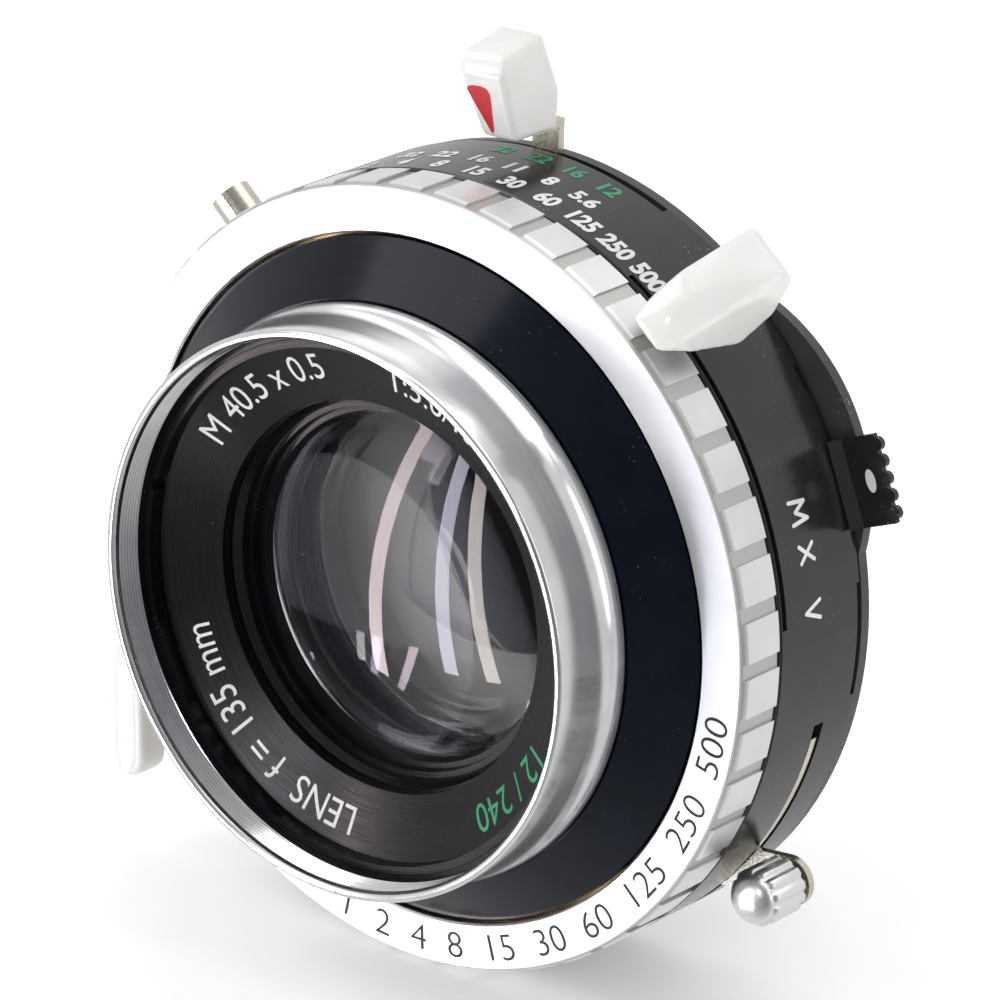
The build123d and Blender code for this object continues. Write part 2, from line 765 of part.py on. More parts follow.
SYNC_FRONT = -1.55
SYNC_BACK = -1.1
SYNC_OUT_R = 33.3
SERRATIONS = 5
SERRATION_PITCH = 1.25
TAB_WIDTH = 6.5

with BuildPart() as sync_lever:
    with BuildSketch(plane_at(SYNC_BACK)):
        sector_face(26.2, 29.2, SYNC_ANGLE - 14, SYNC_ANGLE + 14)
        bar(polar(27.0, SYNC_ANGLE), SYNC_ANGLE, SYNC_OUT_R - 27.0, TAB_WIDTH)
        for number in range(SERRATIONS):
            across = (number - (SERRATIONS - 1) / 2) * SERRATION_PITCH
            with Locations(about((SYNC_OUT_R, across), (0, 0), SYNC_ANGLE)):
                Circle(0.5)
    extrude(amount=SYNC_BACK - SYNC_FRONT)
    with BuildSketch(side_plane(SYNC_ANGLE)):
        with BuildLine():
            Polyline((SYNC_BACK, 29.55), (-2.1, 29.55), (-1.65, 30.5), (SYNC_BACK, 30.5), close=True)
        make_face()
    extrude(amount=TAB_WIDTH / 2, both=True)
finish(sync_lever, "sync_lever")

# ------------------------------------------------------------ preview lever

PREVIEW_PIVOT = polar(25.0, -170.0)
PREVIEW_STUD_R = 0.7
STUD_HEAD_FRONT = -9.94
PREVIEW_ELBOW = (-30.9, -12.4)
PREVIEW_ARM_END = (-30.9, -20.0)
PREVIEW_TIP_TOP = (-30.9, -14.5)
PREVIEW_TIP_END = (-30.8, -22.4)

with BuildPart() as preview_lever:
    link(PREVIEW_PIVOT, 1.8, PREVIEW_ELBOW, 1.0, COCKING_FRONT, COCKING_BACK)
    link(PREVIEW_ELBOW, 1.0, PREVIEW_ARM_END, 1.0, COCKING_FRONT, COCKING_BACK)
    disc(PREVIEW_STUD_R + FIT, PREVIEW_PIVOT, COCKING_FRONT, COCKING_BACK, Mode.SUBTRACT)
finish(preview_lever, "preview_lever")

with BuildPart() as preview_tip:
    link(PREVIEW_TIP_TOP, 1.55, PREVIEW_TIP_END, 1.55, -10.8, -8.6)
    link(PREVIEW_ELBOW, 1.0, PREVIEW_ARM_END, 1.0, COCKING_FRONT, COCKING_BACK, Mode.SUBTRACT)
finish(preview_tip, "preview_tip")

with BuildPart() as preview_stud:
    disc(PREVIEW_STUD_R, PREVIEW_PIVOT, FRONT_PLATE_BACK, STUD_HEAD_FRONT)
    disc(PREVIEW_STUD_R + 0.5, PREVIEW_PIVOT, STUD_HEAD_FRONT, STUD_HEAD_FRONT + 0.35)
finish(preview_stud, "preview_stud")

# -------------------------------------------------------------- retard train

TRAIN_R = 23.7
WHEEL_PITCH_R = 3.0
PINION_PITCH_R = 1.5
WHEEL_TEETH = 24
PINION_TEETH = 12
TOOTH_WIDTH = 0.26
TOOTH_REACH = 0.22
TOOTH_ROOT = 0.3
STAR_TEETH = 15
STAR_R = 2.9
MESH_GAP = 0.12
WHEEL_ANGLE = -122.0
ARBOR_R = 0.4
WHEEL_FRONT = -9.2
WHEEL_BACK = -8.7
STAR_FRONT = -8.3
STAR_BACK = -7.9

centre_distance = WHEEL_PITCH_R + PINION_PITCH_R + MESH_GAP
star_step = 2 * degrees(asin(centre_distance / (2 * TRAIN_R)))
wheel_at = polar(TRAIN_R, WHEEL_ANGLE)
star_at = polar(TRAIN_R, WHEEL_ANGLE + star_step)
pallet_at = polar(TRAIN_R, WHEEL_ANGLE + star_step + 12.0)
mesh_angle = WHEEL_ANGLE + star_step / 2 + 90


def toothed(centre, pitch_r, count, first_angle, front, back):
    """Wheel with narrow teeth."""
    with BuildSketch(plane_at(back)) as profile:
        with Locations(centre):
            Circle(pitch_r - TOOTH_REACH)
            with PolarLocations(pitch_r - TOOTH_ROOT / 2, count, start_angle=first_angle):
                Rectangle(2 * TOOTH_REACH + TOOTH_ROOT, TOOTH_WIDTH)
    extrude(profile.sketch, amount=back - front)


with BuildPart() as retard_wheel:
    toothed(wheel_at, WHEEL_PITCH_R, WHEEL_TEETH, mesh_angle, WHEEL_FRONT, WHEEL_BACK)
    disc(ARBOR_R + FIT, wheel_at, WHEEL_FRONT, WHEEL_BACK, Mode.SUBTRACT)
finish(retard_wheel, "retard_wheel")

with BuildPart() as escape_wheel:
    half_tooth = 180 / PINION_TEETH
    toothed(star_at, PINION_PITCH_R, PINION_TEETH, mesh_angle + half_tooth, WHEEL_FRONT, STAR_FRONT)
    toothed(star_at, STAR_R, STAR_TEETH, mesh_angle, STAR_FRONT, STAR_BACK)
    disc(ARBOR_R + FIT, star_at, WHEEL_FRONT, STAR_BACK, Mode.SUBTRACT)
finish(escape_wheel, "escape_wheel")

with BuildPart() as pallet:
    with BuildSketch(plane_at(STAR_BACK)):
        with Locations(pallet_at):
            Circle(1.2)
        for side in (-1, 1):
            jaw = WHEEL_ANGLE + star_step + 12.0 - 90 - side * 50
            bar(pallet_at, jaw, 3.0, 0.7)
        with Locations(star_at):
            Circle(STAR_R + TOOTH_REACH + 0.45, mode=Mode.SUBTRACT)
        with Locations(pallet_at):
            Circle(ARBOR_R + FIT, mode=Mode.SUBTRACT)
    extrude(amount=STAR_BACK - STAR_FRONT)
finish(pallet, "pallet")

with BuildPart() as train_arbors:
    for place in (wheel_at, star_at, pallet_at):
        disc(ARBOR_R, place, FRONT_PLATE_BACK, -7.5)
        disc(ARBOR_R + 0.35, place, FRONT_PLATE_BACK, WHEEL_FRONT - 0.1)
finish(train_arbors, "train_arbors")

# ------------------------------------------------------------------- sockets

FLASH_END_R = 33.0
CONTACT_R = 0.45

with BuildPart() as flash_socket:
    with BuildSketch(radial_plane(FLASH_ANGLE, FLASH_Y, CASE_R)):
        Circle(FLASH_R)
        Circle(INSULATOR_R, mode=Mode.SUBTRACT)
    extrude(amount=FLASH_END_R - CASE_R)
finish(flash_socket, "flash_socket")

with BuildPart() as flash_insulator:
    with BuildSketch(radial_plane(FLASH_ANGLE, FLASH_Y, CASE_BORE_R)):
        Circle(INSULATOR_R)
        Circle(CONTACT_R, mode=Mode.SUBTRACT)
    extrude(amount=3.4)
finish(flash_insulator, "flash_insulator")

with BuildPart() as flash_contact:
    with BuildSketch(radial_plane(FLASH_ANGLE, FLASH_Y, CASE_BORE_R - 2.0)):
        Circle(CONTACT_R)
    extrude(amount=FLASH_END_R - 1.0 - CASE_BORE_R + 2.0)
finish(flash_contact, "flash_contact")

CABLE_END_R = 34.3
CABLE_BORE_R = 1.6

with BuildPart() as cable_socket:
    with BuildSketch(radial_plane(CABLE_ANGLE, CABLE_Y, CASE_BORE_R)):
        Circle(CABLE_R)
        Circle(CABLE_BORE_R, mode=Mode.SUBTRACT)
    extrude(amount=CABLE_END_R - CASE_BORE_R)
    chamfer(cable_socket.edges().filter_by(GeomType.CIRCLE).sort_by(Axis.X)[0], 0.4)
finish(cable_socket, "cable_socket")
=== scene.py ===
"""Looks of the view camera lens: finishes, fine pieces, markings, light and camera.

Everything is in metres in the frame of the CAD model: the optical axis is Y, the
front is at negative Y and +Z is up.  Outlines below are in millimetres, as
(radius, y), and angles run anticlockwise from +X as seen from the front.
"""
import bmesh
import bpy
import json
from math import atan2, cos, pi, radians, sin, sqrt
from mathutils import Matrix, Vector


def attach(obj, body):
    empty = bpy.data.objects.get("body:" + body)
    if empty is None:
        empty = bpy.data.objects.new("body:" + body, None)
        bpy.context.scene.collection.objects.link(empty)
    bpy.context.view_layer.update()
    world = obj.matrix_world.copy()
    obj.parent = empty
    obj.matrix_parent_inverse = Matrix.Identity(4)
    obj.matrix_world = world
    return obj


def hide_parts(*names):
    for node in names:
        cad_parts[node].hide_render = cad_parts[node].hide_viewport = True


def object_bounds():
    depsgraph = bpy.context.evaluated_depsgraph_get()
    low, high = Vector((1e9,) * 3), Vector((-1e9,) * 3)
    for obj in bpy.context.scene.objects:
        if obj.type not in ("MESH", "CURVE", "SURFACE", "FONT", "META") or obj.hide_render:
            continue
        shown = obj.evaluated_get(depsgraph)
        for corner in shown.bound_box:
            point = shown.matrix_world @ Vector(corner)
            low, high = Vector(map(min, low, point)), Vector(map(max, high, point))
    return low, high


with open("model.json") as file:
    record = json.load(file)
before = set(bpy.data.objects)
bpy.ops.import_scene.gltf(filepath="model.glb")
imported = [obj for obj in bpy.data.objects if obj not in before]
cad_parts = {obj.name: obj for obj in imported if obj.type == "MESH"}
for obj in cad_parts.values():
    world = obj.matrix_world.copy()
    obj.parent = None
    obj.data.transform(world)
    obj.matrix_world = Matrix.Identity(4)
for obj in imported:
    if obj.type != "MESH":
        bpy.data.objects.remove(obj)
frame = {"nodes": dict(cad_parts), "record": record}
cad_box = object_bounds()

MM = 0.001
scene = bpy.context.scene

# Dimensions shared with the CAD model, in millimetres
CASE_R = 29.4
RIM_R = 21.0
RIM_LIP_Y = -24.7
SHOULDER_R = 21.45
SHOULDER_Y = -18.1
FILTER_THREAD_R = 20.25
CELL_THREAD_R = 14.75
RING_FACE_Y = -15.0
COCKING_ANGLE = 47.5
SYNC_ANGLE = 19.5
RELEASE_KNOB = (26.32, -19.40)
RELEASE_KNOB_R = 2.15
PAINT_LIFT = 0.02
GROOVE_DEPTH = 0.22
NAME_RING_IN_R = 14.6
NAME_RING_IN_Y = -19.2
NAME_RING_SLOPE = 1.8 / 4.9

# ------------------------------------------------------------------- camera

VIEW_AZIMUTH = 39.0
VIEW_ELEVATION = 19.6
CAMERA_DISTANCE = 450.0
AIM_RIGHT = 6.10
AIM_UP = 5.88
AIM_Y = -15.0
FOCAL_LENGTH = 226.5


def view_axes():
    """Directions to the right, up and forward as the camera sees them."""
    a = radians(VIEW_AZIMUTH)
    e = radians(VIEW_ELEVATION)
    forward = Vector((-sin(a) * cos(e), cos(a) * cos(e), -sin(e)))
    right = Vector((cos(a), sin(a), 0))
    return right, right.cross(forward), forward


def place_camera():
    right, up, forward = view_axes()
    spot = AIM_RIGHT * right + AIM_UP * up + Vector((0, AIM_Y, 0)) - CAMERA_DISTANCE * forward
    data = bpy.data.cameras.new("camera")
    data.lens = FOCAL_LENGTH
    data.sensor_width = 36.0
    data.clip_start = 0.01
    camera = bpy.data.objects.new("camera", data)
    turn = Matrix((right, up, -forward)).transposed()
    camera.matrix_world = Matrix.Translation(spot * MM) @ turn.to_4x4()
    scene.collection.objects.link(camera)
    scene.camera = camera


place_camera()

# ---------------------------------------------------------------- materials


def link(tree, source, target):
    tree.links.new(source, target)


def millimetres(tree, stretch=(1, 1, 1)):
    """Object coordinates in millimetres, stretched to draw out the grain."""
    place = tree.nodes.new("ShaderNodeTexCoord")
    scale = tree.nodes.new("ShaderNodeMapping")
    scale.inputs["Scale"].default_value = [1000 * s for s in stretch]
    link(tree, place.outputs["Object"], scale.inputs["Vector"])
    return scale.outputs["Vector"]


def turned_coordinates(tree, stretch=(1, 1, 1)):
    """Distance from the optical axis and along it, so that grain runs round it as on a lathe."""
    flat = millimetres(tree)
    parts = tree.nodes.new("ShaderNodeSeparateXYZ")
    link(tree, flat, parts.inputs[0])
    across = tree.nodes.new("ShaderNodeCombineXYZ")
    link(tree, parts.outputs["X"], across.inputs["X"])
    link(tree, parts.outputs["Z"], across.inputs["Z"])
    length = tree.nodes.new("ShaderNodeVectorMath")
    length.operation = "LENGTH"
    link(tree, across.outputs[0], length.inputs[0])
    small = tree.nodes.new("ShaderNodeMath")
    small.operation = "MULTIPLY"
    small.inputs[1].default_value = 0.03
    link(tree, parts.outputs["X"], small.inputs[0])
    joined = tree.nodes.new("ShaderNodeCombineXYZ")
    link(tree, length.outputs["Value"], joined.inputs["X"])
    link(tree, parts.outputs["Y"], joined.inputs["Y"])
    link(tree, small.outputs[0], joined.inputs["Z"])
    scale = tree.nodes.new("ShaderNodeMapping")
    scale.inputs["Scale"].default_value = stretch
    link(tree, joined.outputs[0], scale.inputs["Vector"])
    return scale.outputs["Vector"]


def noise(tree, vector, scale, detail=3.0):
    texture = tree.nodes.new("ShaderNodeTexNoise")
    texture.inputs["Scale"].default_value = scale
    texture.inputs["Detail"].default_value = detail
    link(tree, vector, texture.inputs["Vector"])
    return texture.outputs["Fac"]


def spread(tree, value, low, high, start=0.3, end=0.7):
    """Map a noise value onto a range."""
    node = tree.nodes.new("ShaderNodeMapRange")
    node.inputs["From Min"].default_value = start
    node.inputs["From Max"].default_value = end
    node.inputs["To Min"].default_value = low
    node.inputs["To Max"].default_value = high
    link(tree, value, node.inputs["Value"])
    return node.outputs["Result"]


# The colour sockets of a Mix node; its float and vector sockets have the same names
MIX_COLOUR_A = 6
MIX_COLOUR_B = 7
MIX_COLOUR_RESULT = 2


def mixed(tree, amount, first, second):
    """Blend of two colours; each is a colour or a socket."""
    node = tree.nodes.new("ShaderNodeMix")
    node.data_type = "RGBA"
    link(tree, amount, node.inputs["Factor"])
    for number, value in ((MIX_COLOUR_A, first), (MIX_COLOUR_B, second)):
        socket = node.inputs[number]
        if isinstance(value, tuple):
            socket.default_value = (*value, 1)
        else:
            link(tree, value, socket)
    return node.outputs[MIX_COLOUR_RESULT]


def specks(tree, scale, size):
    """Scattered dots, such as dust: 1 on a dot and 0 elsewhere."""
    cells = tree.nodes.new("ShaderNodeTexVoronoi")
    cells.inputs["Scale"].default_value = scale
    link(tree, millimetres(tree), cells.inputs["Vector"])
    rough_size = noise(tree, millimetres(tree), 0.35, 2.0)
    threshold = spread(tree, rough_size, 0.0, size, 0.42, 0.75)
    test = tree.nodes.new("ShaderNodeMath")
    test.operation = "LESS_THAN"
    link(tree, cells.outputs["Distance"], test.inputs[0])
    link(tree, threshold, test.inputs[1])
    return test.outputs[0]


def finish_of(
    name,
    dark,
    light,
    roughness,
    metallic=0.0,
    grain=6.0,
    blotch=0.25,
    bump=0.1,
    turned=False,
    stretch=(1, 1, 1),
    dust=0.0,
    dust_colour=(0.45, 0.45, 0.43),
    **sockets,
):
    """A procedural finish: blotchy colour, grain in roughness and bump, and dust."""
    material = bpy.data.materials.new(name)
    material.use_nodes = True
    tree = material.node_tree
    shader = tree.nodes["Principled BSDF"]
    shader.inputs["Metallic"].default_value = metallic
    for socket, value in sockets.items():
        shader.inputs[socket.replace("_", " ")].default_value = value
    if turned:
        fine = noise(tree, turned_coordinates(tree, stretch), grain, 4.0)
    else:
        fine = noise(tree, millimetres(tree, stretch), grain, 4.0)
    broad = noise(tree, millimetres(tree), blotch, 3.0)
    colour = mixed(tree, spread(tree, broad, 0, 1), dark, light)
    rough = spread(tree, fine, *roughness)
    if dust:
        dots = specks(tree, 2.6, dust)
        colour = mixed(tree, dots, colour, dust_colour)
        dull = tree.nodes.new("ShaderNodeMix")
        link(tree, dots, dull.inputs["Factor"])
        link(tree, rough, dull.inputs["A"])
        dull.inputs["B"].default_value = 0.8
        rough = dull.outputs["Result"]
    link(tree, colour, shader.inputs["Base Color"])
    link(tree, rough, shader.inputs["Roughness"])
    if bump:
        height = tree.nodes.new("ShaderNodeBump")
        height.inputs["Strength"].default_value = bump
        height.inputs["Distance"].default_value = 0.02 * MM
        link(tree, fine, height.inputs["Height"])
        link(tree, height.outputs["Normal"], shader.inputs["Normal"])
    return material


def shade_grooves(material, land_r, depth, shade):
    """Darken a turned finish below a radius: painted shade on the floor of the grooves of a grip ring.
    """
    tree = material.node_tree
    shader = tree.nodes["Principled BSDF"]
    bright = shader.inputs["Base Color"].links[0].from_socket
    parts = tree.nodes.new("ShaderNodeSeparateXYZ")
    link(tree, turned_coordinates(tree), parts.inputs[0])
    at_floor = spread(tree, parts.outputs["X"], 1.0, 0.0, land_r - 0.8 * depth, land_r - 0.3 * depth)
    behind_face = spread(tree, parts.outputs["Y"], 0.0, 1.0, RING_FACE_Y + 0.05, RING_FACE_Y + 0.2)
    both = tree.nodes.new("ShaderNodeMath")
    both.operation = "MULTIPLY"
    link(tree, at_floor, both.inputs[0])
    link(tree, behind_face, both.inputs[1])
    link(tree, mixed(tree, both.outputs[0], bright, shade), shader.inputs["Base Color"])
    return material


def glass_of(name, tint, reflection, ior):
    """Coated optical glass, with the faint cleaning marks of a used lens in its roughness."""
    material = bpy.data.materials.new(name)
    material.use_nodes = True
    tree = material.node_tree
    shader = tree.nodes["Principled BSDF"]
    shader.inputs["Transmission Weight"].default_value = 1.0
    shader.inputs["IOR"].default_value = ior
    shader.inputs["Specular Tint"].default_value = (*reflection, 1)
    wipe = noise(tree, millimetres(tree, (1, 1, 0.3)), 0.8, 4.0)
    link(tree, spread(tree, wipe, 0.0, 0.012, 0.45, 0.8), shader.inputs["Roughness"])
    haze = noise(tree, millimetres(tree), 0.15, 2.0)
    pale = tuple(min(1, c * 1.03) for c in tint)
    link(tree, mixed(tree, haze, tint, pale), shader.inputs["Base Color"])
    return material


MATERIALS = {
    "chrome": finish_of(
        "chrome", (0.68, 0.69, 0.71), (0.80, 0.80, 0.805), (0.12, 0.24), 1.0,
        grain=5.0, bump=0.12, turned=True, stretch=(1, 2, 1),
    ),
    "satin_chrome": finish_of(
        "satin_chrome", (0.80, 0.80, 0.80), (0.88, 0.88, 0.875), (0.28, 0.4), 1.0,
        grain=9.0, bump=0.1, turned=True, stretch=(1, 1, 1), dust=0.06, dust_colour=(0.2, 0.18, 0.15),
    ),
    # Chrome of the speed ring, with shade painted into the floor of its grooves
    "grip_chrome": shade_grooves(
        finish_of(
            "grip_chrome", (0.82, 0.82, 0.825), (0.90, 0.90, 0.895), (0.28, 0.4), 1.0,
            grain=9.0, bump=0.1, turned=True, dust=0.06, dust_colour=(0.2, 0.18, 0.15),
        ),
        CASE_R, GROOVE_DEPTH, (0.58, 0.575, 0.56),
    ),
    "black_enamel": finish_of(
        "black_enamel", (0.014, 0.014, 0.016), (0.022, 0.022, 0.025), (0.14, 0.26),
        grain=3.0, bump=0.2, dust=0.12, Specular_IOR_Level=0.55,
    ),
    # Lighter copy of the black enamel for the rear plate: a painted sheen in place of reflected light,
    # with real dust specks on it
    "dusty_enamel_painted_sheen": finish_of(
        "dusty_enamel_painted_sheen", (0.042, 0.044, 0.047), (0.055, 0.057, 0.06), (0.3, 0.5),
        grain=3.0, bump=0.2, dust=0.15,
    ),
    "cone_enamel": finish_of(
        "cone_enamel", (0.002, 0.004, 0.009), (0.004, 0.007, 0.014), (0.12, 0.2),
        grain=4.0, bump=0.1, turned=True, dust=0.08, Specular_IOR_Level=0.2,
    ),
    "black_anodised": finish_of(
        "black_anodised", (0.002, 0.0025, 0.004), (0.004, 0.005, 0.007), (0.2, 0.32),
        grain=8.0, bump=0.15, turned=True, dust=0.08, Specular_IOR_Level=0.3,
    ),
    "brass": finish_of(
        "brass", (0.52, 0.38, 0.17), (0.68, 0.52, 0.27), (0.2, 0.42), 1.0,
        grain=7.0, bump=0.3, turned=True,
    ),
    "steel": finish_of(
        "steel", (0.40, 0.40, 0.40), (0.58, 0.57, 0.55), (0.22, 0.42), 1.0,
        grain=6.0, bump=0.3, stretch=(1, 1, 0.2),
    ),
    "blade_steel": finish_of(
        "blade_steel", (0.05, 0.05, 0.055), (0.10, 0.10, 0.105), (0.3, 0.5), 0.7,
        grain=5.0, bump=0.2, stretch=(1, 1, 0.15),
    ),
    # Lighter copy of the blade steel for the iris blades: light painted in, as little lamp light reaches
    # them through the glass
    "iris_steel_painted_light": finish_of(
        "iris_steel_painted_light", (0.30, 0.30, 0.295), (0.40, 0.40, 0.39), (0.35, 0.5), 0.6,
        grain=5.0, bump=0.1, stretch=(1, 1, 0.15),
    ),
    "white_plastic": finish_of(
        "white_plastic", (0.80, 0.80, 0.77), (0.87, 0.87, 0.85), (0.10, 0.2),
        grain=1.5, bump=0.1, dust=0.05, dust_colour=(0.35, 0.3, 0.25),
        Subsurface_Weight=0.25, Subsurface_Scale=0.6 * MM, Coat_Weight=0.4,
    ),
    "insulator": finish_of(
        "insulator", (0.05, 0.04, 0.035), (0.10, 0.08, 0.07), (0.5, 0.7), bump=0.3,
    ),
    "nickel": finish_of(
        "nickel", (0.58, 0.54, 0.45), (0.74, 0.71, 0.62), (0.16, 0.3), 1.0,
        grain=5.0, bump=0.08, dust=0.08, dust_colour=(0.2, 0.15, 0.08),
    ),
    "white_paint": finish_of(
        "white_paint", (0.72, 0.72, 0.70), (0.88, 0.88, 0.86), (0.35, 0.55), grain=8.0, bump=0.3,
    ),
    "green_paint": finish_of(
        "green_paint", (0.02, 0.25, 0.11), (0.04, 0.38, 0.17), (0.35, 0.55), grain=8.0, bump=0.3,
    ),
    "red_paint": finish_of(
        "red_paint", (0.52, 0.02, 0.025), (0.66, 0.035, 0.04), (0.25, 0.4), grain=6.0, bump=0.3,
    ),
    "black_paint": finish_of(
        "black_paint", (0.008, 0.008, 0.008), (0.02, 0.02, 0.02), (0.3, 0.5), grain=8.0, bump=0.3,
    ),
    "front_glass": glass_of("front_glass", (0.96, 0.955, 0.945), (0.34, 0.32, 0.33), 1.60),
    "inner_glass": glass_of("inner_glass", (0.97, 0.97, 0.96), (0.22, 0.24, 0.36), 1.56),
    "rear_glass": glass_of("rear_glass", (0.97, 0.97, 0.96), (0.40, 0.38, 0.33), 1.58),
}


def paint(obj, material):
    """Give every slot of an object one material."""
    if not obj.material_slots:
        obj.data.materials.append(MATERIALS[material])
    for place in obj.material_slots:
        place.material = MATERIALS[material]


SLOT_MATERIALS = {"glass": "inner_glass"}
NODE_MATERIALS = {
    "front_cover": "cone_enamel",
    "speed_ring": "grip_chrome",
    # The rear plate takes the black enamel with painted sheen and dust
    "rear_plate": "dusty_enamel_painted_sheen",
}
node_slots = {row["node"]: row["material_slot"] for row in frame["record"]["subparts"]}
for node, obj in frame["nodes"].items():
    choice = node_slots[node]
    choice = SLOT_MATERIALS.get(choice, choice)
    # Iris blades take the lighter blade steel with painted light
    if node.startswith("iris_blade"):
        choice = "iris_steel_painted_light"
    paint(obj, NODE_MATERIALS.get(node, choice))

# ------------------------------------------------------------ mesh building


def keep(name, mesh, material, body, smooth=True):
    """Make a mesh into a piece that rides on a body."""
    for face in mesh.polygons:
        face.use_smooth = smooth
    obj = bpy.data.objects.new(name, mesh)
    scene.collection.objects.link(obj)
    paint(obj, material)
    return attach(obj, body)


def stands_for(obj, node):
    """The piece replaces a CAD node, which is hidden."""
    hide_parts(node)


def turned(name, outline, material, body, steps=256, sharp=30, inner=None, inner_from=0, inner_to=0):
    """Revolve a closed outline of (radius, y) points about the optical axis.

    The stretch of outline from inner_from to inner_to gets the inner material.
    """
    build = bmesh.new()
    rings = []
    for step in range(steps):
        c = cos(2 * pi * step / steps)
        s = sin(2 * pi * step / steps)
        rings.append([build.verts.new((r * c * MM, y * MM, r * s * MM)) for r, y in outline])
    count = len(outline)
    for step in range(steps):
        here = rings[step]
        there = rings[(step + 1) % steps]
        for place in range(count):
            after = (place + 1) % count
            corners = [here[place], here[after], there[after], there[place]]
            face = build.faces.new(corners)
            face.material_index = 1 if inner and inner_from <= place < inner_to else 0
    bmesh.ops.remove_doubles(build, verts=build.verts, dist=1e-7)
    bmesh.ops.recalc_face_normals(build, faces=build.faces)
    mesh = bpy.data.meshes.new(name)
    build.to_mesh(mesh)
    build.free()
    obj = keep(name, mesh, material, body)
    if inner:
        mesh.materials.append(MATERIALS[inner])
    mesh.set_sharp_from_angle(angle=radians(sharp))
    return obj


def arc_points(curve, vertex, edge_r, steps=16):
    """Points of a spherical face from the axis out to a radius."""
    points = []
    for step in range(steps + 1):
        r = edge_r * step / steps
        depth = abs(curve) - sqrt(curve * curve - r * r)
        points.append((r, vertex + (depth if curve > 0 else -depth)))
    return points


# ------------------------------------------------------------- front barrel

THREAD_PITCH = 0.3
THREAD_DEPTH = 0.14
THREAD_COUNT = 7


def thread_outline():
    """Fine filter thread inside the rim, from the inside end out to the lip."""
    points = []
    start = RIM_LIP_Y + 0.45 + THREAD_COUNT * THREAD_PITCH
    for turn in range(THREAD_COUNT):
        y = start - turn * THREAD_PITCH
        points.append((FILTER_THREAD_R + THREAD_DEPTH, y - THREAD_PITCH * 0.15))
        points.append((FILTER_THREAD_R, y - THREAD_PITCH * 0.5))
        points.append((FILTER_THREAD_R, y - THREAD_PITCH * 0.62))
    return points


def rounded(radius, y, size, start, steps=5):
    """Quarter-round corner points; start is the angle of the first one."""
    turns = [radians(start + 90 * step / steps) for step in range(steps + 1)]
    return [(radius + size * cos(turn), y + size * sin(turn)) for turn in turns]


barrel_outline = (
    [(SHOULDER_R, SHOULDER_Y), (17.2, SHOULDER_Y), (17.2, -15.4), (CELL_THREAD_R, -15.4)]
    + [(CELL_THREAD_R, -7.7), (11.3, -7.7), (11.3, -8.2), (13.35, -8.2), (13.35, -15.9)]
    + [(15.6, -15.9), (15.6, -18.25), (19.75, -19.85), (19.75, -22.1), (FILTER_THREAD_R, -22.1)]
    + thread_outline()
    + [(FILTER_THREAD_R + 0.05, RIM_LIP_Y + 0.3), (FILTER_THREAD_R + 0.2, RIM_LIP_Y + 0.05)]
    + [(FILTER_THREAD_R + 0.28, RIM_LIP_Y), (RIM_R - 0.4, RIM_LIP_Y)]
    + rounded(RIM_R - 0.3, RIM_LIP_Y + 0.3, 0.3, -90)[1:]
    + [(RIM_R, -22.5), (RIM_R, -20.6), (RIM_R + 0.08, -19.9), (RIM_R + 0.27, -19.3), (SHOULDER_R, -18.9)]
)
front_rim = turned("front_rim", barrel_outline, "chrome", "shutter", 320, 30, "black_anodised", 4, 13)
stands_for(front_rim, "front_barrel")

# ------------------------------------------------------------ glass elements


def element(name, node, rim_r, front, back, material):
    """Glass element with smooth spherical faces: (curve, vertex y, y of the flat rim)."""
    outline = []
    for curve, vertex, rim_y in (front, back):
        depth = abs(rim_y - vertex)
        edge_r = min(sqrt(2 * curve * depth - depth * depth), rim_r)
        side = curve if rim_y > vertex else -curve
        face = arc_points(side, vertex, edge_r)
        if rim_r - edge_r > 0.01:
            face.append((rim_r, rim_y))
        outline.append(face)
    obj = turned(name, outline[0] + outline[1][::-1], material, "shutter", 192, 25)
    obj.visible_shadow = False
    stands_for(obj, node)


element("glass_1", "front_element_1", 13.3, (40.0, -17.6, -15.4), (80.0, -13.12, -14.22), "front_glass")
element("glass_2", "front_element_2", 13.3, (80.0, -13.1, -14.2), (38.0, -12.1, -10.3), "inner_glass")
element("glass_3", "front_element_3", 13.3, (30.0, -11.6, -9.2), (60.0, -9.3, -8.22), "inner_glass")
element("glass_4", "rear_element_4", 12.8, (60.0, -0.25, -1.18), (30.0, 2.0, -0.1), "rear_glass")
element("glass_5", "rear_element_5", 12.8, (38.0, 2.6, 1.0), (80.0, 3.58, 4.58), "rear_glass")
element("glass_6", "rear_element_6", 12.8, (80.0, 3.6, 4.6), (42.0, 8.0, 6.05), "rear_glass")

# ---------------------------------------------------------- moulded levers


def moulding(name, corners, place, material, body, voxel=0.15, passes=60):
    """Block round a cloud of corner points, its edges rounded by smoothing.

    place turns a corner into a point in millimetres.
    """
    build = bmesh.new()
    for corner in corners:
        build.verts.new(Vector(place(*corner)) * MM)
    hull = bmesh.ops.convex_hull(build, input=list(build.verts))
    bmesh.ops.delete(build, geom=hull["geom_interior"], context="VERTS")
    bmesh.ops.recalc_face_normals(build, faces=build.faces)
    mesh = bpy.data.meshes.new(name)
    build.to_mesh(mesh)
    build.free()
    obj = keep(name, mesh, material, body)
    even = obj.modifiers.new("even", "REMESH")
    even.mode = "VOXEL"
    even.voxel_size = voxel * MM
    even.use_smooth_shade = True
    soft = obj.modifiers.new("soft", "SMOOTH")
    soft.factor = 0.5
    soft.iterations = passes
    return obj


def both_sides(points):
    """Points (along, out, half width), each on both sides of the middle plane."""
    return [(along, out, side * half) for along, out, half in points for side in (-1, 1)]


def radial_place(angle):
    """Places (y, radius, across) points in the radial plane at an angle; across runs clockwise."""
    c = cos(radians(angle))
    s = sin(radians(angle))
    return lambda along, out, across: (out * c + across * s, along, out * s - across * c)


def as_given(x, y, z):
    return (x, y, z)


KNOB_FRONT_FOOT = (-6.9, 31.3)
KNOB_FRONT_TOP = (-8.7, 36.8)


